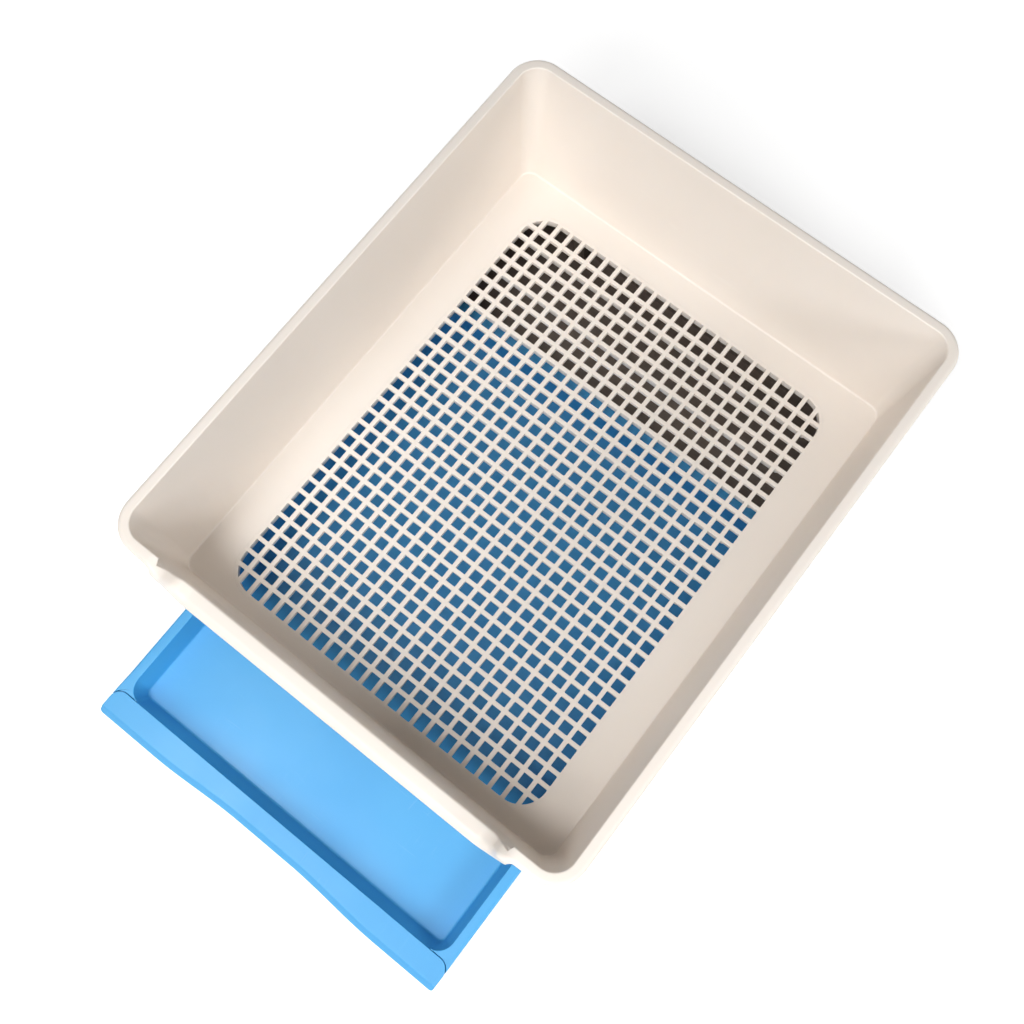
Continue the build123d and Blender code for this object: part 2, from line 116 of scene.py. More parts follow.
def leave_edit() -> None:
    """Ends edit mode."""
    bpy.ops.object.mode_set(mode="OBJECT")


def pick_edges(obj: Object, wanted: Callable[[Edge], bool]) -> None:
    """Selects the edges of the object in edit mode that a test wants, and nothing else."""
    bpy.ops.mesh.select_mode(type="EDGE")
    bpy.ops.mesh.select_all(action="DESELECT")
    for edge in bmesh.from_edit_mesh(obj.data).edges:
        if wanted(edge):
            edge.select_set(True)
    bmesh.update_edit_mesh(obj.data)


def bevel_edges(obj: Object, wanted: Callable[[Edge], bool], width: float, segments: int) -> None:
    """Bevels the edges of the object in edit mode that a test wants."""
    pick_edges(obj, wanted)
    bpy.ops.mesh.bevel(offset=width, segments=segments, affect="EDGES")


def apply_modifier(obj: Object, kind: str, **settings: float | str | bool) -> None:
    """Adds a modifier with its settings to the object that is held, and applies it."""
    modifier = obj.modifiers.new(kind.lower(), kind)
    for name, value in settings.items():
        setattr(modifier, name, value)
    bpy.ops.object.modifier_apply(modifier=modifier.name)


def finish_shell(obj: Object) -> None:
    """Shades a finished shell smoothly, with flat stretches that stay flat."""
    hold(obj)
    bpy.ops.object.shade_smooth_by_angle(angle=SMOOTH_ANGLE)
    apply_modifier(obj, "WEIGHTED_NORMAL", keep_sharp=True, weight=FLAT_WEIGHT)


# ---- Rounded outlines and the mouldings that follow them ----
def mixed(start: float, end: float, share: float) -> float:
    """A value a share of the way from start to end."""
    return start + (end - start) * share


def smooth(value: float, start: float, end: float) -> float:
    """Rises smoothly from 0 at start to 1 at end."""
    share = min(max((value - start) / (end - start), 0.0), 1.0)
    return share * share * (3 - 2 * share)


def direction(turn: float) -> Vector:
    """The level direction at an angle from +X."""
    return Vector((math.cos(turn), math.sin(turn), 0))


def quarter(steps: int) -> list[tuple[float, float]]:
    """The stops of a quarter turn, each as one less its cosine and one less its sine."""
    angles = [math.pi / 2 * step / steps for step in range(steps + 1)]
    return [(1 - math.cos(angle), 1 - math.sin(angle)) for angle in angles]


class Blended:
    """Sizes of one kind that can be mixed with others of the same kind."""

    def towards(self, other: "Blended", share: float) -> "Blended":
        """The sizes a share of the way from these to others."""
        pairs = zip(astuple(self), astuple(other))
        return type(self)(*(mixed(start, end, share) for start, end in pairs))


@dataclass(frozen=True)
class Outline(Blended):
    """A rounded rectangle that reaches ahead of and behind the middle of the sieve.

    Args:
        half: Half its width.
        ahead: How far it reaches towards the cat's entry.
        behind: How far it reaches towards the rear.
        radius: The radius of its corners.
    """

    half: float
    ahead: float
    behind: float
    radius: float

    def grown(self, margin: float) -> "Outline":
        """The outline that lies a margin outside this one."""
        return Outline(*(size + margin for size in astuple(self)))

    @property
    def straight(self) -> float:
        """Half the length of the straight part of the front edge."""
        return self.half - self.radius


Level = tuple[Outline, float]


@dataclass(frozen=True)
class Station:
    """One point of the way round an outline, anticlockwise from the left end of the front edge.

    Args:
        across: Where it lies between the middles of the left and right corners, from -1 to 1.
        rear: Whether it belongs to a rear corner.
        turn: The direction in which the outline faces there.
        column: Its number along the front edge, or None in a corner.
    """

    across: float
    rear: bool
    turn: float
    column: int | None = None

    def point(self, outline: Outline, height: float) -> Vector:
        """The place of the station on an outline, at a height."""
        reach = outline.radius
        x = self.across * outline.straight + reach * math.cos(self.turn)
        side = outline.behind - reach if self.rear else reach - outline.ahead
        return Vector((x, MIDDLE_Y + side + reach * math.sin(self.turn), height))


@dataclass(frozen=True)
class Wall:
    """One face of a leaning wall.

    Args:
        foot: Its outline at the foot.
        mouth: Its outline at the mouth.
        low: The height of the foot.
        high: The height of the mouth.
    """

    foot: Outline
    mouth: Outline
    low: float
    high: float

    def at(self, height: float) -> Outline:
        """The outline of the face at a height."""
        return self.foot.towards(self.mouth, (height - self.low) / (self.high - self.low))

    def bend(self, radius: float, steps: int) -> list[Level]:
        """The levels of the bend at the foot, from the face down to the floor."""
        stops = [(across, self.low + radius * down) for across, down in quarter(steps)]
        return [(self.at(height).grown(-radius * across), height) for across, height in stops]


def level_rings(stations: list[Station], levels: Iterable[Level]) -> list[Ring]:
    """The rings that follow the outlines at their heights."""
    return [[station.point(*level) for station in stations] for level in levels]


def way_round(corner_steps: int, columns: Iterable[float]) -> list[Station]:
    """The stations of the way round an outline, anticlockwise.

    Args:
        corner_steps: How many steps a corner is divided into.
        columns: Where stations lie along the front edge, from -1 to 1 without the ends.
    """
    front = -math.pi / 2
    stations = [Station(across, False, front, number) for number, across in enumerate(columns)]
    for across, rear, first in ((1, False, -90), (1, True, 0), (-1, True, 90), (-1, False, 180)):
        for step in range(corner_steps + 1):
            turn = math.radians(first + 90 * step / corner_steps)
            stations.append(Station(across, rear, turn))
    return stations


class Moulding:
    """A shell that is drawn out ring by ring from a circle, as its section is followed round.

    Args:
        name: The name of the piece.
        rings: The points of each ring in turn.
    """

    TRACK = "station"
    MERGE = 2e-6

    def __init__(self, name: str, rings: list[Ring]) -> None:
        deselect_all()
        bpy.ops.mesh.primitive_circle_add(vertices=len(rings[0]), fill_type="NOTHING")
        self.obj = bpy.context.object
        self.obj.name = name
        mesh = edit(self.obj)
        track = mesh.verts.layers.int.new(self.TRACK)
        for number, vert in enumerate(mesh.verts):
            vert[track] = number
        self.first = rings[0]
        self._place(self.first)
        for ring in rings[1:]:
            self._pull(ring)

    def _place(self, ring: Ring) -> None:
        """Puts the ring that is selected at its points."""
        mesh = bmesh.from_edit_mesh(self.obj.data)
        track = mesh.verts.layers.int[self.TRACK]
        for vert in mesh.verts:
            if vert.select:
                vert.co = ring[vert[track]]
        bmesh.update_edit_mesh(self.obj.data)

    def _pull(self, ring: Ring) -> None:
        """Draws the shell on to one more ring."""
        bpy.ops.mesh.extrude_edges_move()
        self._place(ring)

    def join_ends(self) -> Object:
        """Draws the shell back to its first ring, which closes it, and gives the piece."""
        self._pull(self.first)
        return self._finish()

    def cap_ends(self) -> Object:
        """Closes both ends with a flat face each, and gives the piece."""
        bpy.ops.mesh.select_all(action="SELECT")
        bpy.ops.mesh.fill_holes(sides=0)
        return self._finish()

    def _finish(self) -> Object:
        """Merges doubles, turns the faces outwards and leaves edit mode."""
        bpy.ops.mesh.select_all(action="SELECT")
        bpy.ops.mesh.remove_doubles(threshold=self.MERGE)
        bpy.ops.mesh.normals_make_consistent(inside=False)
        leave_edit()
        self.obj.data.attributes.remove(self.obj.data.attributes[self.TRACK])
        return self.obj


# ---- Shader nodes ----
def calculated(tree: Tree, operation: str, *values: Socket | float) -> Socket:
    """The result of a maths node on sockets and numbers."""
    node = tree.nodes.new("ShaderNodeMath")
    node.operation = operation
    for socket, value in zip(node.inputs, values):
        if isinstance(value, float):
            socket.default_value = value
        else:
            tree.links.new(value, socket)
    return node.outputs[0]


def ramp(
    tree: Tree, value: Socket, low: float, high: float, start: float = 0.0, end: float = 1.0
) -> Socket:
    """Spreads the values between low and high smoothly over start to end."""
    node = tree.nodes.new("ShaderNodeMapRange")
    node.interpolation_type = "SMOOTHSTEP"
    sizes = {"From Min": low, "From Max": high, "To Min": start, "To Max": end}
    for name, size in sizes.items():
        node.inputs[name].default_value = size
    tree.links.new(value, node.inputs["Value"])
    return node.outputs["Result"]


def noise(
    tree: Tree,
    scale: Socket | float,
    detail: float,
    stretch: Triple = (1, 1, 1),
    distortion: float = 0.0,
) -> Socket:
    """The strength of a noise texture on object coordinates, stretched along each axis."""
    place = tree.nodes.new("ShaderNodeTexCoord")
    mapping = tree.nodes.new("ShaderNodeMapping")
    mapping.inputs["Scale"].default_value = stretch
    texture = tree.nodes.new("ShaderNodeTexNoise")
    texture.inputs["Detail"].default_value = detail
    texture.inputs["Distortion"].default_value = distortion
    if isinstance(scale, float):
        texture.inputs["Scale"].default_value = scale
    else:
        tree.links.new(scale, texture.inputs["Scale"])
    tree.links.new(place.outputs["Object"], mapping.inputs["Vector"])
    tree.links.new(mapping.outputs["Vector"], texture.inputs["Vector"])
    return texture.outputs["Fac"]


# ---- Effects that several finishes share ----
def mould_grain(group: Tree, scale: Socket) -> Socket:
    """The fine sparked grain that a mould leaves."""
    return noise(group, scale, detail=3.0)


def mould_swell(group: Tree, scale: Socket) -> Socket:
    """The slight swell of a cooled wall."""
    return noise(group, scale, detail=1.0)


def colour_drift(group: Tree, scale: Socket) -> Socket:
    """Broad clouds of slightly different colour, where the melt ran."""
    return ramp(group, noise(group, scale, detail=2.0), low=0.3, high=0.7)


def scuffs(group: Tree, scale: Socket) -> Socket:
    """Fine scratches in two directions, gathered in patches where a scoop and claws scrape."""
    along, across = (
        ramp(group, noise(group, 1.0, 2.0, stretch, distortion=0.6), low=0.64, high=0.74)
        for stretch in ((30, 900, 200), (700, 45, 200))
    )
    patches = ramp(group, noise(group, scale, detail=2.0), low=0.42, high=0.68)
    return calculated(group, "MULTIPLY", calculated(group, "MAXIMUM", along, across), patches)


def dust(group: Tree, scale: Socket) -> Socket:
    """A thin film of dust that lies on faces that look up, thinner where it was wiped."""
    shape = group.nodes.new("ShaderNodeNewGeometry")
    parts = group.nodes.new("ShaderNodeSeparateXYZ")
    group.links.new(shape.outputs["Normal"], parts.inputs["Vector"])
    upward = ramp(group, parts.outputs["Z"], low=0.4, high=0.95)
    film = ramp(group, noise(group, scale, detail=5.0), low=0.35, high=0.75)
    return calculated(group, "MULTIPLY", upward, film)


def place_effect(tree: Tree, effect: Callable[[Tree, Socket], Socket], scale: float) -> Socket:
    """Adds the group of an effect to a material, which is made once, and gives its value."""
    group = bpy.data.node_groups.get(effect.__name__)
    if group is None:
        group = bpy.data.node_groups.new(effect.__name__, "ShaderNodeTree")
        for name, way in (("Scale", "INPUT"), ("Value", "OUTPUT")):
            group.interface.new_socket(name, in_out=way, socket_type="NodeSocketFloat")
        value = effect(group, group.nodes.new("NodeGroupInput").outputs["Scale"])
        group.links.new(value, group.nodes.new("NodeGroupOutput").inputs["Value"])
    node = tree.nodes.new("ShaderNodeGroup")
    node.node_tree = group
    node.inputs["Scale"].default_value = scale
    return node.outputs["Value"]


@dataclass(frozen=True)
class Finish:
    """How one material of the tray looks.

    Args:
        name: The name of the material.
        colour: Its main colour.
        cloud: The colour that drifts into it in broad clouds.
        worn: The colour of scuffed and dusty places.
        roughness: Its roughness where it is clean.
        specular: How strongly it reflects.
        grain: Depth of the mould's grain, in metres.
        grain_scale: How fine the grain is.
        swell: Depth of the slight swell of the walls, in metres.
        scuffs: How strong the scuffs are.
        dust: How strong the film of dust is.
        glow: How much light wanders under the surface.
        glow_colour: How far each colour of that light wanders.
        glow_reach: The scale of those distances, in metres.
    """

    name: str
    colour: Colour
    cloud: Colour
    worn: Colour
    roughness: float = 0.4
    specular: float = 0.5
    grain: float = 0.00002
    grain_scale: float = 2600.0
    swell: float = 0.0004
    scuffs: float = 0.6
    dust: float = 0.3
    glow: float = 0.0
    glow_colour: Colour = (1.0, 0.7, 0.5)
    glow_reach: float = 0.004

    SWELL_SCALE: ClassVar[float] = 22.0
    DRIFT_SCALE: ClassVar[float] = 9.0
    PATCH_SCALE: ClassVar[float] = 14.0
    WIPE_SCALE: ClassVar[float] = 36.0
    SCRATCH_DEPTH: ClassVar[float] = 0.00002
    SCUFF_COLOUR: ClassVar[float] = 0.35
    DUST_COLOUR: ClassVar[float] = 0.12
    CLOUD_ROUGHNESS: ClassVar[float] = 0.06
    SCUFF_ROUGHNESS: ClassVar[float] = 0.2
    DUST_ROUGHNESS: ClassVar[float] = 0.12

    @staticmethod
    def _mix(tree: Tree, share: Socket, start: Colour | Socket, end: Colour) -> Socket:
        """Mixes a colour into another by a mask."""
        node = tree.nodes.new("ShaderNodeMix")
        node.data_type = "RGBA"
        tree.links.new(share, node.inputs["Factor"])
        if isinstance(start, tuple):
            node.inputs["A"].default_value = (*start, 1)
        else:
            tree.links.new(start, node.inputs["A"])
        node.inputs["B"].default_value = (*end, 1)
        return node.outputs["Result"]

    @staticmethod
    def _total(tree: Tree, start: float, *layers: tuple[Socket, float]) -> Socket:
        """A number with each mask times its strength added to it."""
        total: Socket | float = start
        for mask, strength in layers:
            total = calculated(tree, "MULTIPLY_ADD", mask, strength, total)
        return total

    def material(self) -> bpy.types.Material:
        """Makes the material, or finds it if it is made."""
        found = bpy.data.materials.get(self.name)
        if found:
            return found
        material = bpy.data.materials.new(self.name)
        material.use_nodes = True
        tree = material.node_tree
        shader = tree.nodes["Principled BSDF"]
        shader.inputs["Specular IOR Level"].default_value = self.specular
        shader.inputs["Subsurface Weight"].default_value = self.glow
        shader.inputs["Subsurface Radius"].default_value = self.glow_colour
        shader.inputs["Subsurface Scale"].default_value = self.glow_reach

        cloud = place_effect(tree, colour_drift, self.DRIFT_SCALE)
        grain = place_effect(tree, mould_grain, self.grain_scale)
        swell = place_effect(tree, mould_swell, self.SWELL_SCALE)
        scraped = place_effect(tree, scuffs, self.PATCH_SCALE)
        dusty = place_effect(tree, dust, self.WIPE_SCALE)

        colour = self._mix(tree, cloud, self.colour, self.cloud)
        for mask, share in (
            (scraped, self.SCUFF_COLOUR * self.scuffs),
            (dusty, self.DUST_COLOUR * self.dust),
        ):
            colour = self._mix(tree, calculated(tree, "MULTIPLY", mask, share), colour, self.worn)
        tree.links.new(colour, shader.inputs["Base Color"])

        rough = self._total(
            tree,
            self.roughness,
            (cloud, self.CLOUD_ROUGHNESS),
            (scraped, self.SCUFF_ROUGHNESS * self.scuffs),
            (dusty, self.DUST_ROUGHNESS * self.dust),
        )
        tree.links.new(rough, shader.inputs["Roughness"])

        height = self._total(
            tree,
            0.0,
            (grain, self.grain),
            (swell, self.swell),
            (scraped, -self.SCRATCH_DEPTH * self.scuffs),
        )
        bump = tree.nodes.new("ShaderNodeBump")
        bump.inputs["Distance"].default_value = 1.0
        bump.inputs["Strength"].default_value = 1.0
        tree.links.new(height, bump.inputs["Height"])
        tree.links.new(bump.outputs["Normal"], shader.inputs["Normal"])
        return material

    def dress(self, obj: Object) -> None:
        """Gives a piece this finish all over."""
        obj.data.materials.clear()
        obj.data.materials.append(self.material())


CREAM = Finish(
    name="cream_polypropylene",
    colour=(0.83, 0.765, 0.70),
    cloud=(0.81, 0.743, 0.675),
    worn=(0.88, 0.83, 0.775),
    roughness=0.38,
    glow=0.08,
    glow_colour=(1.0, 0.72, 0.5),
)
BLUE = Finish(
    name="sky_blue_polypropylene",
    colour=(0.062, 0.37, 0.72),
    cloud=(0.057, 0.35, 0.70),
    worn=(0.20, 0.49, 0.77),
    roughness=0.36,
    glow=0.08,
    glow_colour=(0.3, 0.6, 1.0),
)
# Painted shade: the base's dark taupe is not a known colour of the base. It stands in for the deep
# shadow seen below the sieve's rear cells.
TAUPE_PAINTED_SHADE = Finish(
    name="taupe_painted_shade",
    colour=(0.20, 0.155, 0.125),
    cloud=(0.18, 0.14, 0.112),
    worn=(0.33, 0.28, 0.24),
    roughness=0.45,
    grain=0.00003,
)
RUBBER = Finish(
    name="grey_rubber",
    colour=(0.16, 0.16, 0.16),
    cloud=(0.13, 0.13, 0.13),
    worn=(0.3, 0.3, 0.3),
    roughness=0.75,
    specular=0.3,
    grain=0.00005,
    grain_scale=1400.0,
)


# ---- Pan ----
@dataclass(frozen=True)
class Section(Blended):
    """The rolled edge of the pan, seen in section.

    Args:
        width: From the inner face of the wall to the outer face of the edge.
        lean: How far the inner face leans out at the top.
        inner: Radius of the bend from the wall to the top.
        outer: Radius of the bend from the top to the outer face.
        drop: Height of the turned-down edge.
    """

    width: float
    lean: float
    inner: float
    outer: float
    drop: float


@dataclass(frozen=True)
class Column:
    """One place along the top of the front wall, and the direction in which the top faces there."""

    x: float
    z: float
    up_x: float
    up_z: float


@dataclass
class LitterPan:
    """The pan: a moulded tub with a rolled rim, which dips into a broad lip at the cat's entry."""

    wall: float = 0.0025
    floor: float = 0.003
    side_flare: float = 0.0085
    rear_flare: float = 0.0175
    front_flare: float = 0.005
    rim_width: float = 0.0085
    rim_corner: float = 0.024
    floor_corner: float = 0.010
    foot_fillet: float = 0.0015
    skin: float = 0.0022
    edge_round: float = 0.0008
    inner_bend: float = 0.0015
    rim_inner: float = 0.0012
    rim_outer: float = 0.0035
    rim_drop: float = 0.010
    lip_bulge: float = 0.007
    lip_inner: float = 0.002
    lip_outer: float = 0.0065
    lip_drop: float = 0.012
    lip_lean: float = 0.0022
    lean_depth: float = 0.009
    entry_height: float = 0.084
    entry_low_half: float = 0.134
    entry_top_half: float = 0.142
    entry_bend: float = 0.014
    bulge_start: float = 0.158
    bulge_end: float = 0.123
    nick: float = 0.0045
    nick_start: float = 0.131
    nick_end: float = 0.1465
    ledge_width: float = 0.0026
    ledge: float = 0.003
    recess: float = 0.004
    collar: float = 0.0025
    sieve_corner: float = 0.0246
    sieve_gap: float = 0.0003
    base_corner: float = 0.011
    base_wall: float = 0.0025
    spigot_gap: float = 0.0004
    spigot_wall: float = 0.002
    spigot_drop: float = 0.006
    crisp: float = 0.00008
    flat_steps: int = 10
    bend_steps: int = 9
    corner_steps: int = 16
    foot_steps: int = 6
    soft_steps: int = 3
    crisp_steps: int = 2

    def __post_init__(self) -> None:
        """Works out the outlines and levels from the frame and the sizes."""
        self.top = PAN.high.z
        self.lip_top = FLOOR_TOP + self.entry_height
        whole = PAN.outline(self.rim_corner)
        self.rim = replace(whole, ahead=whole.ahead - self.lip_bulge)
        self.mouth = self.rim.grown(-self.rim_width)
        self.foot = Outline(
            self.mouth.half - self.side_flare,
            self.mouth.ahead - self.front_flare,
            self.mouth.behind - self.rear_flare,
            self.floor_corner,
        )
        self.inside = Wall(self.foot, self.mouth, FLOOR_TOP, self.top)
        self.edge = Section(self.rim_width, 0.0, self.rim_inner, self.rim_outer, self.rim_drop)
        self.columns = self._columns()
        self.stations = way_round(
            self.corner_steps, [column.x / self.mouth.straight for column in self.columns]
        )

    def _columns(self) -> list[Column]:
        """Follows the top of the front wall from left to right, through the dip of the entry."""
        run = self.entry_top_half - self.entry_low_half
        slope = math.atan2(self.top - self.lip_top, run)
        tangent = self.entry_bend * math.tan(slope / 2)
        foot_x = self.entry_low_half - tangent
        head_x = self.entry_top_half + tangent
        right = [
            Column(foot_x * step / self.flat_steps, self.lip_top, 0.0, 1.0)
            for step in range(self.flat_steps)
        ]
        shares = [step / self.bend_steps for step in range(self.bend_steps + 1)]
        bends = ((foot_x, self.lip_top, 1, shares), (head_x, self.top, -1, shares[::-1]))
        for start_x, start_z, way, turns in bends:
            for share in turns:
                angle = slope * share
                x = start_x + way * self.entry_bend * math.sin(angle)
                z = start_z + way * self.entry_bend * (1 - math.cos(angle))
                right.append(Column(x, z, -math.sin(angle), math.cos(angle)))
        left = [Column(-c.x, c.z, -c.up_x, c.up_z) for c in reversed(right[1:])]
        return left + right

    def _front_section(self, column: Column) -> Section:
        """The rolled edge at a place along the front: rim, lip or something between."""
        x = abs(column.x)
        bulge = self.lip_bulge * smooth(-x, -self.bulge_start, -self.bulge_end)
        width = self.rim.ahead + bulge - self.inside.at(column.z).ahead
        rim = replace(self.edge, width=width)
        lip = Section(width, self.lip_lean, self.lip_inner, self.lip_outer, self.lip_drop)
        share = (self.top - column.z) / (self.top - self.lip_top)
        section = rim.towards(lip, smooth(share, 0.0, 1.0))
        if x >= self.nick_end:
            return section
        nick = self.nick * smooth(x, self.nick_start, self.nick_end)
        return replace(section, lean=section.lean + nick)

    def _edge(self, place: Callable[[Section], tuple[float, float]]) -> Ring:
        """One ring of the rolled edge.

        Args:
            place: Gives, from a section, how far the ring lies outside the inner face of the wall
                and how far below the top.
        """
        points = []
        for station in self.stations:
            if station.column is None:
                out, down = place(self.edge)
                points.append(station.point(self.mouth.grown(out), self.top - down))
                continue
            column = self.columns[station.column]
            out, down = place(self._front_section(column))
            y = MIDDLE_Y - self.inside.at(column.z).ahead - out
            points.append(Vector((column.x - column.up_x * down, y, column.z - column.up_z * down)))
        return points

    def _wall_ring(self, depth: float) -> Ring:
        """A ring on the inner face of the wall, so far below the top."""
        points = []
        for station in self.stations:
            if station.column is None:
                height = self.top - depth
                points.append(station.point(self.inside.at(height), height))
                continue
            column = self.columns[station.column]
            height = column.z - column.up_z * depth
            y = MIDDLE_Y - self.inside.at(height).ahead
            points.append(Vector((column.x - column.up_x * depth, y, height)))
        return points

    def _edge_rings(self) -> list[Ring]:
        """The rings of the rolled edge, from the inner face of the wall over the top and under."""
        skin, low, bend = self.skin, self.edge_round, self.inner_bend
        bends = (
            (5, lambda s, a, d: (s.lean + s.inner * a, s.inner * d)),
            (8, lambda s, a, d: (s.width - s.outer * d, s.outer * a)),
            (3, lambda s, a, d: (s.width - low * a, s.drop - low * d)),
            (3, lambda s, a, d: (s.width - skin + low * d, s.drop - low * a)),
            (3, lambda s, a, d: (s.width - skin - bend * a, skin + bend * d)),
            (3, lambda s, a, d: (self.wall + bend * d, skin + bend * a)),
        )
        rings = [self._wall_ring(self.lean_depth)]
        for steps, place in bends:
            for across, down in quarter(steps):
                rings.append(self._edge(lambda s, f=place, a=across, d=down: f(s, a, d)))
        return rings

    def _foot_rings(self) -> list[Ring]:
        """The rings from the outer foot of the wall, under the floor and back up inside."""
        under = FLOOR_TOP - self.floor
        outer = self.foot.grown(self.wall)
        spigot = BASE.outline(self.base_corner).grown(-self.base_wall - self.spigot_gap)
        spigot_inner = spigot.grown(-self.spigot_wall)
        spigot_low = under - self.spigot_drop
        seat = SIEVE.outline(self.sieve_corner)
        recess = seat.grown(self.sieve_gap)
        collar = recess.grown(self.collar)
        opening = seat.grown(-self.ledge_width)
        seat_top = FLOOR_TOP - self.recess
        ledge_low = seat_top - self.ledge
        soft, crisp = self.edge_round, self.crisp
        soft_bend, crisp_bend = quarter(self.soft_steps), quarter(self.crisp_steps)
        levels = [(outer.grown(-soft * a), under + soft * d) for a, d in soft_bend]
        levels += [(spigot, under), (spigot, spigot_low)]
        levels += [(spigot_inner, spigot_low), (spigot_inner, under)]
        levels += [(collar, under), (collar, PAN.low.z), (recess, PAN.low.z), (recess, ledge_low)]
        levels += [(opening, ledge_low), (opening, seat_top), (recess, seat_top)]
        levels += [(recess.grown(crisp * a), FLOOR_TOP - crisp * d) for a, d in crisp_bend]
        levels += reversed(self.inside.bend(self.foot_fillet, self.foot_steps))
        return level_rings(self.stations, levels)

    def build(self) -> None:
        """Draws the shell round its section."""
        self.obj = Moulding("pan_shell", self._edge_rings() + self._foot_rings()).join_ends()
        finish_shell(self.obj)

    def dress(self) -> None:
        """Gives the pan its finish and its place in the frame."""
        CREAM.dress(self.obj)
        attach(self.obj, "pan")
        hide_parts("litter_pan")


# ---- Sieve ----
@dataclass
class SievePlate:
    """The sieve: a grating of square cells with stiffening ribs, laid in the floor of the pan."""

    columns: int = 24
    rows: int = 32
    column_pitch: float = 0.012
    row_pitch: float = 0.01183
    column_bar: float = 0.0035
    row_bar: float = 0.0034
    border: float = 0.0026
    corner: float = 0.022
    thickness: float = 0.004
    fit: float = 0.00026
    cell_round: float = 0.0006
    top_round: float = 0.00035
    arc_cuts: int = 2
    rib_width: float = 0.0022
    rib_overlap: float = 0.0005
    rib_chamfer: float = 0.0025
    rib_round: float = 0.0003
    rib_step: int = 3

    def __post_init__(self) -> None:
        """Works out where the cells end and where the arcs of the corners have their middles."""
        self.reach_x = SIEVE.high.x - self.border
        self.reach_y = SIEVE.high.y - MIDDLE_Y - self.border
        self.centre_x = self.reach_x - self.corner
        self.centre_y = self.reach_y - self.corner
        self.across = self._lines(self.columns, self.column_pitch, self.column_bar, self.reach_x)
        self.along = self._lines(self.rows, self.row_pitch, self.row_bar, self.reach_y)

    def _lines(self, cells: int, pitch: float, bar: float, reach: float) -> list[float]:
        """The edges of the cells in one direction, with the edges of the border at both ends."""
        bars = [(number - cells / 2) * pitch for number in range(1, cells)]
        edges = [middle + side * bar / 2 for middle in bars for side in (-1, 1)]
        border = self.border + self.fit
        return [-reach - border, -reach, *edges, reach, reach + border]

    def _plate(self) -> Object:
        """A flat grid whose lines are the edges of the cells, without the faces of the cells."""
        across_steps, along_steps = len(self.across) - 1, len(self.along) - 1
        deselect_all()
        bpy.ops.mesh.primitive_grid_add(
            x_subdivisions=across_steps, y_subdivisions=along_steps, size=2
        )
        plate = bpy.context.object
        plate.name = "sieve_plate"
        mesh = edit(plate)
        bpy.ops.mesh.select_mode(type="FACE")
        bpy.ops.mesh.select_all(action="DESELECT")
        for face in mesh.faces:
            place = face.calc_center_median()
            column = int((place.x + 1) / 2 * across_steps)
            row = int((place.y + 1) / 2 * along_steps)
            if column % 2 and row % 2:
                face.select_set(True)
        bmesh.update_edit_mesh(plate.data)
        bpy.ops.mesh.delete(type="FACE")
        for vert in bmesh.from_edit_mesh(plate.data).verts:
            column = round((vert.co.x + 1) / 2 * across_steps)
            row = round((vert.co.y + 1) / 2 * along_steps)
            vert.co = (self.across[column], self.along[row], 0)
        bmesh.update_edit_mesh(plate.data)
        return plate

    def _along_border(self, edge: Edge) -> bool:
        """Whether an edge of the flat plate lies along its border, near a corner."""
        first, second = (vert.co for vert in edge.verts)
        middle = (first + second) / 2
        if abs(middle.x) < self.centre_x or abs(middle.y) < self.centre_y:
            return False
        level = abs(first.y - second.y) < Moulding.MERGE
        out = abs(first.y) - self.reach_y if level else abs(first.x) - self.reach_x
        return out > -Moulding.MERGE

    def _round_corners(self, plate: Object) -> None:
        """Divides the border finely at the corners and pulls it on to the arcs."""
        pick_edges(plate, self._along_border)
        bpy.ops.mesh.subdivide(number_cuts=self.arc_cuts)
        cell_x, cell_y = abs(self.across[2]), abs(self.along[2])
        low = math.asin((cell_y - self.centre_y) / self.corner)
        high = math.acos((cell_x - self.centre_x) / self.corner)
        middle = (low + high) / 2
        mesh = bmesh.from_edit_mesh(plate.data)
        for vert in mesh.verts:
            x, y = abs(vert.co.x), abs(vert.co.y)
            out_x, out_y = x - self.reach_x, y - self.reach_y
            out = max(out_x, out_y)
            if x <= self.centre_x or y <= self.centre_y or out < -Moulding.MERGE:
                continue
            if out_y >= out_x:
                share = (x - cell_x) / (self.reach_x + out - cell_x)
                start, before = high, math.acos(min(1.0, (x - self.centre_x) / self.corner))
            else:
                share = (y - cell_y) / (self.reach_y + out - cell_y)
                start, before = low, math.asin(min(1.0, (y - self.centre_y) / self.corner))
            turn = mixed(start, middle, share) if share > 0 else before
            radius = self.corner + out
            vert.co.x = math.copysign(self.centre_x + radius * math.cos(turn), vert.co.x)
            vert.co.y = math.copysign(self.centre_y + radius * math.sin(turn), vert.co.y)
        for vert in mesh.verts:
            vert.co += Vector((0, MIDDLE_Y, SIEVE.high.z))
        bmesh.update_edit_mesh(plate.data)

    def _rib(self, middle: float) -> Object:
        """One rib under a cross bar, with chamfered ends."""
        deselect_all()
        bpy.ops.mesh.primitive_cube_add(size=1)
        rib = bpy.context.object
        half = (self.columns - 1) * self.column_pitch / 2
        top = SIEVE.high.z - self.thickness + self.rib_overlap
        for vert in edit(rib).verts:
            reach = half if vert.co.z > 0 else half - self.rib_chamfer
            height = top if vert.co.z > 0 else SIEVE.low.z
            across = math.copysign(reach, vert.co.x)
            vert.co = (across, MIDDLE_Y + middle + vert.co.y * self.rib_width, height)
        bmesh.update_edit_mesh(rib.data)
        bevel_edges(
            rib, lambda edge: any(vert.co.z < top for vert in edge.verts), self.rib_round, 1
        )
        leave_edit()
        return rib

    def _upright_corner(self, edge: Edge) -> bool:
        """Whether an edge is the upright corner of a cell."""
        first, second = (vert.co for vert in edge.verts)
        upright = abs(first.z - second.z) > self.thickness / 2
        return upright and edge.calc_face_angle(0.0) > SHARP_ANGLE

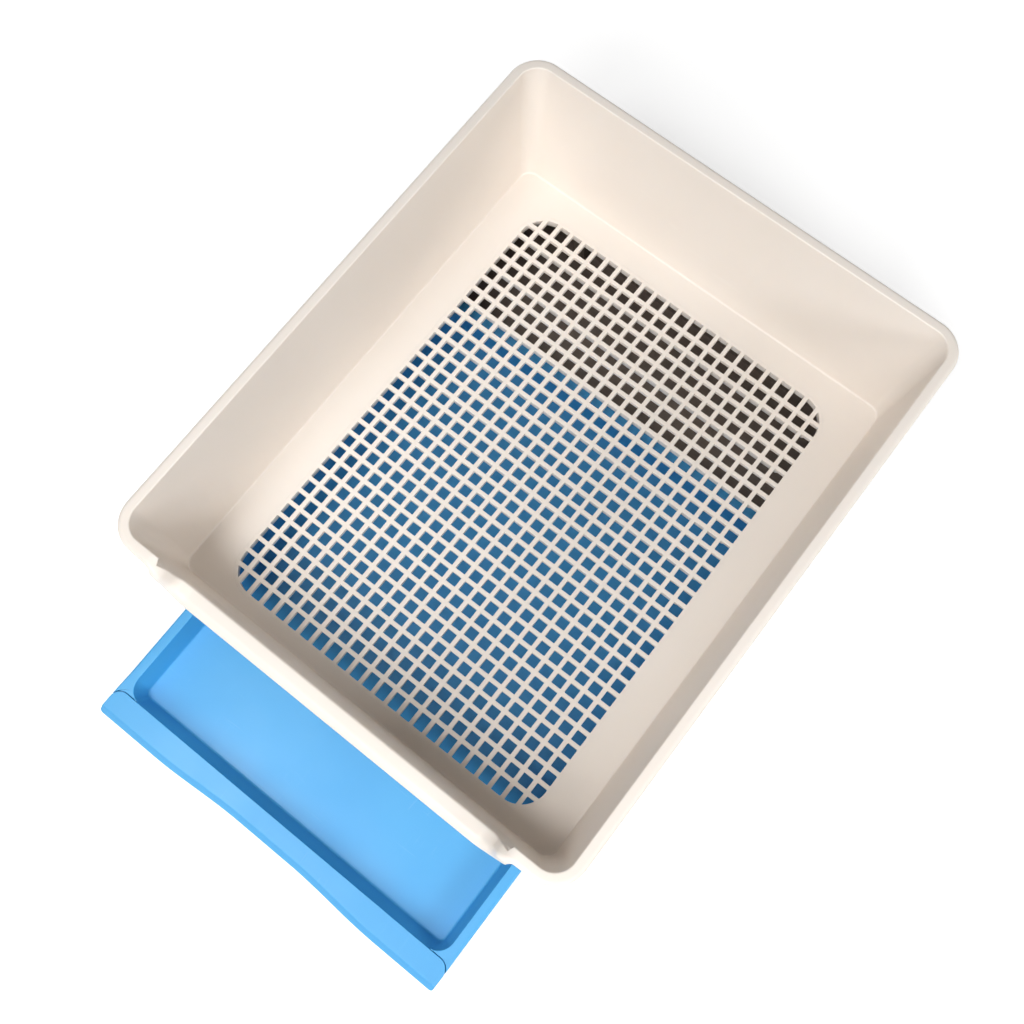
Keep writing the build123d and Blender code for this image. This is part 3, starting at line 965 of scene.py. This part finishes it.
    def _top_of_cell(self, edge: Edge) -> bool:
        """Whether an edge is the upper edge of a cell, and not that of the whole plate."""
        level = all(abs(vert.co.z - SIEVE.high.z) < Moulding.MERGE for vert in edge.verts)
        if not level or len(edge.link_faces) != 2 or edge.calc_face_angle(0.0) < STEEP_ANGLE:
            return False
        wall = min(edge.link_faces, key=lambda face: abs(face.normal.z))
        away = (wall.calc_center_median() - Vector((0, MIDDLE_Y, 0))).to_2d()
        outward = wall.normal.to_2d().dot(away) > 0
        half = self.border / 2
        past_x = abs(away.x) > self.reach_x + half
        past_y = abs(away.y) > self.reach_y + half
        offset = Vector((abs(away.x) - self.centre_x, abs(away.y) - self.centre_y))
        past_arc = min(offset) > 0 and offset.length > self.corner + half
        return not (outward and (past_x or past_y or past_arc))

    def build(self) -> None:
        """Models the plate and its ribs."""
        self.obj = self._plate()
        self._round_corners(self.obj)
        leave_edit()
        apply_modifier(
            self.obj, "SOLIDIFY", thickness=self.thickness, offset=-1.0, use_even_offset=False
        )
        edit(self.obj)
        bevel_edges(self.obj, self._upright_corner, self.cell_round, 2)
        bevel_edges(self.obj, self._top_of_cell, self.top_round, 2)
        leave_edit()
        numbers = [0]
        for number in range(2, self.rows // 2, self.rib_step):
            numbers += [number, -number]
        ribs = [self._rib(number * self.row_pitch) for number in numbers]
        hold(self.obj, *ribs)
        bpy.ops.object.join()
        finish_shell(self.obj)

    def dress(self) -> None:
        """Gives the sieve its finish and its place in the frame."""
        CREAM.dress(self.obj)
        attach(self.obj, "sieve")
        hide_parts("sieve_grid")


# ---- Drawer ----
@dataclass(frozen=True)
class FlangePlace:
    """A place on the edge of the tray's flange.

    Args:
        place: The point, seen from above.
        inward: The direction from it into the flange.
        top: The height of the top there.
        bend: The radius of the bend from the top to the edge.
    """

    place: Vector
    inward: Vector
    top: float
    bend: float


@dataclass
class DrawerTray:
    """The blue tray: a shallow tub with flanges that carry it, and a seat in front for the grip."""

    wall: float = 0.0025
    floor: float = 0.0025
    flare: float = 0.006
    corner: float = 0.014
    foot_corner: float = 0.005
    foot_fillet: float = 0.0015
    mouth_round: float = 0.0007
    flange: float = 0.0085
    thickness: float = 0.0025
    flange_corner: float = 0.006
    roll: float = 0.0021
    crisp: float = 0.0003
    seat_depth: float = 0.012
    seat_lap: float = 0.003
    seat_inset: float = 0.0002
    seat_turn: float = 17.0
    grip_corner: float = 0.009
    grip_gap: float = 0.0005
    seat_steps: int = 3
    bend_step: int = 6
    tip_step: int = 12
    corner_steps: int = 16
    mouth_steps: int = 4
    roll_steps: int = 5
    edge_steps: int = 2
    foot_steps: int = 5
    front_columns: tuple[float, ...] = (-0.6, -0.2, 0.2, 0.6)

    def __post_init__(self) -> None:
        """Works out the outlines and levels from the frame and the sizes."""
        self.top = TRAY.high.z
        self.front = MIDDLE_Y - GRIP.high.y
        self.rim = replace(TRAY.outline(self.flange_corner), ahead=self.front)
        self.mouth = Outline(
            self.rim.half - self.flange, self.front, self.rim.behind - self.flange, self.corner
        )
        self.foot = replace(self.mouth.grown(-self.flare), radius=self.foot_corner)
        self.seat_top = GRIP.high.z - self.thickness
        self.stations = way_round(self.corner_steps, self.front_columns)
        self.places = [self._flange_place(station) for station in self.stations]

    def _cut(self, step: int) -> tuple[Vector, Vector, float]:
        """A place on the front end of the right flange, which follows the grip's rounded corner.

        Args:
            step: The number of the station in the front corner, past those of the seat.

        Returns:
            The place seen from above, the direction into the flange, and the radius of the bend.
        """
        front_y = MIDDLE_Y - self.front
        reach = self.grip_corner + self.grip_gap
        centre = Vector((TRAY.high.x - self.grip_corner, front_y - self.grip_corner, 0))
        end = math.acos(self.grip_corner / reach)
        if step <= self.bend_step:
            start_x = self.mouth.straight + self.corner * math.sin(math.radians(self.seat_turn))
            share = (step - self.seat_steps) / (self.bend_step - self.seat_steps)
            place = Vector((mixed(start_x, centre.x, share), centre.y + reach, 0))
            return place, Vector((0, 1, 0)), self.crisp
        if step <= self.tip_step:
            share = (step - self.bend_step) / (self.tip_step - self.bend_step)
            away = direction(mixed(math.pi / 2, end, share))
            tip = Vector((-1, 1 / math.tan(end / 2), 0))
            return centre + reach * away, tip if step == self.tip_step else away, self.crisp
        share = (step - self.tip_step) / (self.corner_steps - self.tip_step)
        y = mixed(centre.y + reach * math.sin(end), front_y + self.corner, share)
        return Vector((TRAY.high.x, y, 0)), Vector((-1, 0, 0)), mixed(self.crisp, self.roll, share)

    def _flange_place(self, station: Station) -> FlangePlace:
        """The place on the edge of the flange that belongs to a station."""
        away = direction(station.turn)
        if station.rear:
            return FlangePlace(station.point(self.rim, 0), -away, self.top, self.roll)
        under = math.degrees(abs(math.asin(math.sin(station.turn))))
        step = round((90 - under) * self.corner_steps / 90)
        if step < self.seat_steps:
            place = station.point(self.mouth.grown(self.wall), 0)
            return FlangePlace(place, -away, self.seat_top, self.crisp)
        place, inward, bend = self._cut(step)
        mirror = Vector((math.copysign(1.0, station.across), 1, 1))
        return FlangePlace(place * mirror, inward * mirror, self.top, bend)

    def _mouth_ring(self, out: float, down: float) -> Ring:
        """A ring near the edge of the mouth, so far outside it and so far below the top."""
        mouth = self.mouth.grown(out)
        pairs = zip(self.stations, self.places)
        return [station.point(mouth, place.top - down) for station, place in pairs]

    def _edge_ring(self, near: Callable[[float], tuple[float, float]]) -> Ring:
        """A ring near the edge of the flange.

        Args:
            near: Gives, from the radius of the bend, how far the ring lies inside the edge and
                how far below the top.
        """
        points = []
        for place in self.places:
            inside, down = near(place.bend)
            points.append(place.place + place.inward * inside + Vector((0, 0, place.top - down)))
        return points

    def _rings(self) -> list[Ring]:
        """The rings from the floor of the hollow over the flange to the underside."""
        soft, crisp, low = self.mouth_round, self.crisp, TRAY.low.z
        inside = Wall(self.foot, self.mouth, low + self.floor, self.top)
        outside = Wall(self.foot.grown(self.wall), self.mouth.grown(self.wall), low, self.top)
        rings = level_rings(self.stations, reversed(inside.bend(self.foot_fillet, self.foot_steps)))
        rings += [self._mouth_ring(soft * a, soft * d) for a, d in quarter(self.mouth_steps)]
        for a, d in quarter(self.roll_steps):
            rings.append(self._edge_ring(lambda bend, a=a, d=d: (bend * d, bend * a)))
        for a, d in quarter(self.edge_steps):
            near = (crisp * a, self.thickness - crisp * d)
            rings.append(self._edge_ring(lambda _, near=near: near))
        rings.append(self._mouth_ring(self.wall, self.thickness))
        levels = outside.bend(self.foot_fillet + self.wall, self.foot_steps)
        return rings + level_rings(self.stations, levels)

    def _seat_block(self, left: float, right: float, rear: float) -> Object:
        """One block of the seat, which reaches so far behind the front of the hollow."""
        deselect_all()
        front_y = MIDDLE_Y - self.front - self.seat_depth
        rear_y = MIDDLE_Y - self.front + rear
        middle_z = self.seat_top - self.thickness / 2
        bpy.ops.mesh.primitive_cube_add(
            size=1,
            location=((left + right) / 2, (front_y + rear_y) / 2, middle_z),
            scale=(right - left, rear_y - front_y, self.thickness - self.seat_inset),
        )
        block = bpy.context.object
        bpy.ops.object.transform_apply(location=True, rotation=True, scale=True)
        edit(block)
        bevel_edges(block, lambda edge: True, self.crisp, 1)
        leave_edit()
        return block

    def build(self) -> None:
        """Draws the tub round its section and sets the seat in front."""
        self.obj = Moulding("drawer_tub", self._rings()).cap_ends()
        end = TRAY.high.x - self.seat_inset
        flange_from = self.mouth.half - self.corner / 3
        hold(
            self.obj,
            self._seat_block(-end, end, -self.wall / 2),
            self._seat_block(-end, -flange_from, self.seat_lap),
            self._seat_block(flange_from, end, self.seat_lap),
        )
        bpy.ops.object.join()
        finish_shell(self.obj)

    def dress(self) -> None:
        """Gives the tray its finish and its place in the frame."""
        BLUE.dress(self.obj)
        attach(self.obj, "drawer")
        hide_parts("drawer_tray")


@dataclass(frozen=True)
class GripPlace:
    """One point of the way round the grip: on its outer face, on its inner face, and how low."""

    outer: Vector
    inner: Vector
    under: float


@dataclass
class DrawerGrip:
    """The grip: a shell along the front of the drawer, chamfered in front and hollow underneath."""

    skin: float = 0.0025
    rear_corner: float = 0.009
    front_corner: float = 0.0025
    chamfer: float = 0.005
    hollow_chamfer: float = 0.0035
    recess: float = 0.0036
    recess_start: float = 0.106
    recess_end: float = 0.026
    seat_depth: float = 0.012
    edge_round: float = 0.0005
    recess_steps: int = 14
    straight_steps: int = 3
    front_steps: int = 4
    rear_steps: int = 8
    rear_shares: tuple[float, ...] = (0.66, 0.33, 0.0)

    def __post_init__(self) -> None:
        """Works out the levels and the way round from the frame and the sizes."""
        self.top = GRIP.high.z
        self.half = GRIP.high.x
        self.places = self._way_round()

    def _front_y(self, x: float) -> float:
        """Where the front face lies, with the shallow recess for the fingers in its middle."""
        return GRIP.low.y + self.recess * smooth(-abs(x), -self.recess_start, -self.recess_end)

    def _way_round(self) -> list[GripPlace]:
        """The places round the grip, anticlockwise from the middle of the front."""
        low, seat = GRIP.low.z, self.top - self.skin
        inner_x, inner_y = self.half - self.skin, GRIP.low.y + self.skin
        straight = self.half - self.front_corner
        right: list[GripPlace] = []

        def add(outer: tuple[float, float], inner: tuple[float, float], under: float) -> None:
            right.append(GripPlace(Vector((*outer, 0)), Vector((*inner, 0)), under))

        steps = self.recess_steps
        fronts = [self.recess_start * step / steps for step in range(steps + 1)]
        steps = self.straight_steps
        fronts += [mixed(self.recess_start, straight, (step + 1) / steps) for step in range(steps)]
        for x in fronts:
            y = self._front_y(x)
            add((x, y), (min(x, inner_x), y + self.skin), low)
        for step in range(1, self.front_steps + 1):
            turn = math.radians(-90 + 90 * step / self.front_steps)
            x = straight + self.front_corner * math.cos(turn)
            y = GRIP.low.y + self.front_corner + self.front_corner * math.sin(turn)
            add((x, y), (min(x, inner_x), max(y, inner_y)), low)
        seat_y = GRIP.high.y - self.seat_depth
        for y, under in ((GRIP.low.y + self.chamfer, low), (seat_y, low), (seat_y, seat)):
            add((self.half, y), (inner_x, max(y, inner_y)), under)
        centre = Vector((self.half - self.rear_corner, GRIP.high.y - self.rear_corner))
        for step in range(self.rear_steps + 1):
            away = direction(math.radians(90 * step / self.rear_steps)).to_2d()
            outer = centre + away * self.rear_corner
            add(outer, centre + away * (self.rear_corner - self.skin), seat)
        for share in self.rear_shares:
            x = share * (self.half - self.rear_corner)
            add((x, GRIP.high.y), (x, GRIP.high.y - self.skin), seat)
        mirror = Vector((-1, 1, 1))
        left = [GripPlace(p.outer * mirror, p.inner * mirror, p.under) for p in right[1:-1]]
        return right + left[::-1]

    def _rings(self) -> list[Ring]:
        """The rings from the edge of the top over the outer face, underneath and up inside."""
        crown, shoulder, outer_low, inner_low, inner_shoulder, ceiling = [], [], [], [], [], []
        for place in self.places:
            front = self._front_y(place.outer.x)
            for point, face, top, chamfer, upper, lower, flat in (
                (place.outer, front, self.top, self.chamfer, shoulder, outer_low, crown),
                (
                    place.inner,
                    front + self.skin,
                    self.top - self.skin,
                    self.hollow_chamfer,
                    inner_shoulder,
                    inner_low,
                    ceiling,
                ),
            ):
                fall = max(0.0, chamfer - (point.y - face))
                flat.append(Vector((point.x, max(point.y, face + chamfer), top)))
                upper.append(Vector((point.x, point.y, top - fall)))
                lower.append(Vector((point.x, point.y, place.under)))
        return [crown, shoulder, outer_low, inner_low, inner_shoulder, ceiling]

    def _sharp_on_top(self, edge: Edge) -> bool:
        """Whether an edge is a sharp one of the top or the chamfer."""
        high = all(vert.co.z > self.top - self.chamfer - self.edge_round for vert in edge.verts)
        inside = all(vert.co.z <= self.top - self.skin for vert in edge.verts)
        hidden = inside and edge.verts[0].co.y > GRIP.low.y + self.chamfer
        return high and not hidden and edge.calc_face_angle(0.0) > SHARP_ANGLE

    def build(self) -> None:
        """Draws the shell round its section and softens its edges."""
        self.obj = Moulding("grip_shell", self._rings()).cap_ends()
        edit(self.obj)
        bevel_edges(self.obj, self._sharp_on_top, self.edge_round, 3)
        leave_edit()
        finish_shell(self.obj)

    def dress(self) -> None:
        """Gives the grip its finish and its place in the frame."""
        BLUE.dress(self.obj)
        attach(self.obj, "drawer")
        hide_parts("drawer_grip")


# ---- Base and pads ----
@dataclass
class BaseBox:
    """The base: an open-fronted box whose edges are slightly rounded."""

    edge_round: float = 0.0004
    flat_angle: float = 0.5
    sharp_angle: float = 40.0

    def build(self) -> None:
        """Copies the node's mesh, merges it and rounds its edges."""
        node = bpy.data.objects["base_box"]
        self.obj = bpy.data.objects.new("base_shell", node.data.copy())
        bpy.context.scene.collection.objects.link(self.obj)
        self.obj.matrix_world = node.matrix_world
        hold(self.obj)
        bpy.ops.object.transform_apply(location=True, rotation=True, scale=True)
        edit(self.obj)
        bpy.ops.mesh.select_all(action="SELECT")
        bpy.ops.mesh.remove_doubles(threshold=Moulding.MERGE)
        bpy.ops.mesh.dissolve_limited(angle_limit=math.radians(self.flat_angle))
        leave_edit()
        apply_modifier(
            self.obj,
            "BEVEL",
            width=self.edge_round,
            segments=2,
            limit_method="ANGLE",
            angle_limit=math.radians(self.sharp_angle),
        )
        finish_shell(self.obj)

    def dress(self) -> None:
        """Gives the base its dark taupe finish, which is painted shade, and its place in the frame.
        """
        # Painted shade: the base is coloured dark so that the shade seen through the sieve reads as
        # deep.
        TAUPE_PAINTED_SHADE.dress(self.obj)
        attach(self.obj, "base")
        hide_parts("base_box")


@dataclass
class Pads:
    """The four non-slip pads, whose nodes are shown as they are."""

    nodes: tuple[str, ...] = (
        "front_left_pad",
        "front_right_pad",
        "rear_left_pad",
        "rear_right_pad",
    )

    def build(self) -> None:
        """The pads need no modelling."""

    def dress(self) -> None:
        """Gives each pad its finish."""
        for node in self.nodes:
            for slot in bpy.data.objects[node].material_slots:
                slot.material = RUBBER.material()


# ---- Studio and camera ----
@dataclass(frozen=True)
class Lamp:
    """A soft square lamp that faces the middle of the object.

    Args:
        name: Its name.
        turn: The direction it hangs in, in degrees about Z from +X.
        rise: Its angle above the floor, in degrees.
        size: The length of its side.
        power: Its power in watts.
    """

    name: str
    turn: float
    rise: float
    size: float
    power: float

    def build(self, aim: Vector, distance: float) -> None:
        """Hangs the lamp at the distance from the point it faces."""
        rise = math.radians(self.rise)
        way = direction(math.radians(self.turn)) * math.cos(rise) + Vector((0, 0, math.sin(rise)))
        bpy.ops.object.light_add(type="AREA", location=aim + distance * way)
        lamp = bpy.context.object
        lamp.name = self.name
        lamp.data.energy = self.power
        lamp.data.size = self.size
        lamp.rotation_euler = (-way).to_track_quat("-Z", "Y").to_euler()


@dataclass
class Studio:
    """A plain pale floor, soft light and a white surround."""

    floor_half: float = 3.0
    floor_colour: Colour = (0.8, 0.8, 0.8)
    floor_lift: float = 0.5
    shadow_reach: float = 0.45
    white_from: float = 1.3
    ambient: float = 0.07
    aim: Triple = (0, 0, 0.05)
    distance: float = 1.8
    lamps: tuple[Lamp, ...] = (
        Lamp("front_lamp", turn=285, rise=45, size=0.9, power=14.0),
        Lamp("high_front_lamp", turn=280, rise=62, size=0.45, power=5.5),
        Lamp("high_left_lamp", turn=240, rise=65, size=0.45, power=11.0),
        Lamp("right_front_lamp", turn=330, rise=30, size=0.45, power=4.0),
        Lamp("right_lamp", turn=0, rise=30, size=0.45, power=8.0),
        Lamp("rear_left_lamp", turn=140, rise=12, size=0.45, power=4.0),
        Lamp("rear_right_lamp", turn=50, rise=12, size=0.45, power=3.5),
    )

    def build(self) -> None:
        """Adds the floor, the world and the lamps."""
        deselect_all()
        bpy.ops.mesh.primitive_plane_add(size=2 * self.floor_half, location=(0, 0, 0))
        floor = bpy.context.object
        floor.name = "studio_floor"
        floor.data.materials.append(self._floor_material())
        self._world()
        for lamp in self.lamps:
            lamp.build(Vector(self.aim), self.distance)
        bpy.context.scene.view_settings.view_transform = "Standard"

    @staticmethod
    def _seen(tree: Tree) -> Socket:
        """One where the camera looks at it, directly, in a reflection or through a clear thing."""
        path = tree.nodes.new("ShaderNodeLightPath").outputs
        direct = calculated(tree, "MAXIMUM", path["Is Camera Ray"], path["Is Glossy Ray"])
        return calculated(tree, "MAXIMUM", direct, path["Is Transmission Ray"])

    def _floor_material(self) -> bpy.types.Material:
        """A pale floor that keeps the object's shadow and is white beyond it."""
        material = bpy.data.materials.new("studio_white")
        material.use_nodes = True
        tree = material.node_tree
        tree.nodes.remove(tree.nodes["Principled BSDF"])
        matt = tree.nodes.new("ShaderNodeBsdfDiffuse")
        matt.inputs["Color"].default_value = (*self.floor_colour, 1)
        lift = tree.nodes.new("ShaderNodeEmission")
        place = tree.nodes.new("ShaderNodeTexCoord")
        reach = tree.nodes.new("ShaderNodeVectorMath")
        reach.operation = "LENGTH"
        tree.links.new(place.outputs["Object"], reach.inputs[0])
        whiten = ramp(
            tree, reach.outputs["Value"], self.shadow_reach, self.white_from, self.floor_lift, 1.0
        )
        strength = calculated(tree, "MULTIPLY", self._seen(tree), whiten)
        tree.links.new(strength, lift.inputs["Strength"])
        both = tree.nodes.new("ShaderNodeAddShader")
        tree.links.new(matt.outputs[0], both.inputs[0])
        tree.links.new(lift.outputs[0], both.inputs[1])
        tree.links.new(both.outputs[0], tree.nodes["Material Output"].inputs["Surface"])
        return material

    def _world(self) -> None:
        """A white surround that lights the object faintly from all sides."""
        world = bpy.data.worlds.new("studio_world")
        bpy.context.scene.world = world
        world.use_nodes = True
        tree = world.node_tree
        background = tree.nodes["Background"]
        background.inputs["Color"].default_value = (1, 1, 1, 1)
        level = calculated(tree, "MAXIMUM", self._seen(tree), self.ambient)
        tree.links.new(level, background.inputs["Strength"])


@dataclass(frozen=True)
class Viewpoint:
    """The camera that looks down on the tray from its right front.

    Args:
        place: Where the camera is, with its distance along Y given from the middle of the sieve.
        tilt: Its turns about X, Y and Z, in degrees.
        lens: Its focal length in millimetres.
        sensor: The width of its film in millimetres.
    """

    place: Triple = (0.142605, -0.197462, 0.927363)
    tilt: Triple = (14.9361, 0.4537, 37.9924)
    lens: float = 41.2816
    sensor: float = 36.0

    def build(self) -> None:
        """Adds the camera and makes it the scene's own."""
        bpy.ops.object.camera_add(
            location=Vector(self.place) + Vector((0, MIDDLE_Y, 0)),
            rotation=[math.radians(angle) for angle in self.tilt],
        )
        camera = bpy.context.object
        camera.name = "camera"
        camera.data.lens = self.lens
        camera.data.sensor_width = self.sensor
        bpy.context.scene.camera = camera


def main() -> None:
    """Builds and dresses each sub-assembly in order."""
    logging.basicConfig(level=logging.INFO, format="%(name)s: %(message)s")
    for part in (LitterPan(), SievePlate(), BaseBox(), Pads(), DrawerTray(), DrawerGrip()):
        part.build()
        part.dress()
        LOG.info("%s is built and dressed", type(part).__name__)
    Studio().build()
    Viewpoint().build()
    LOG.info("the studio and the camera are set")


if __name__ == "__main__":
    main()
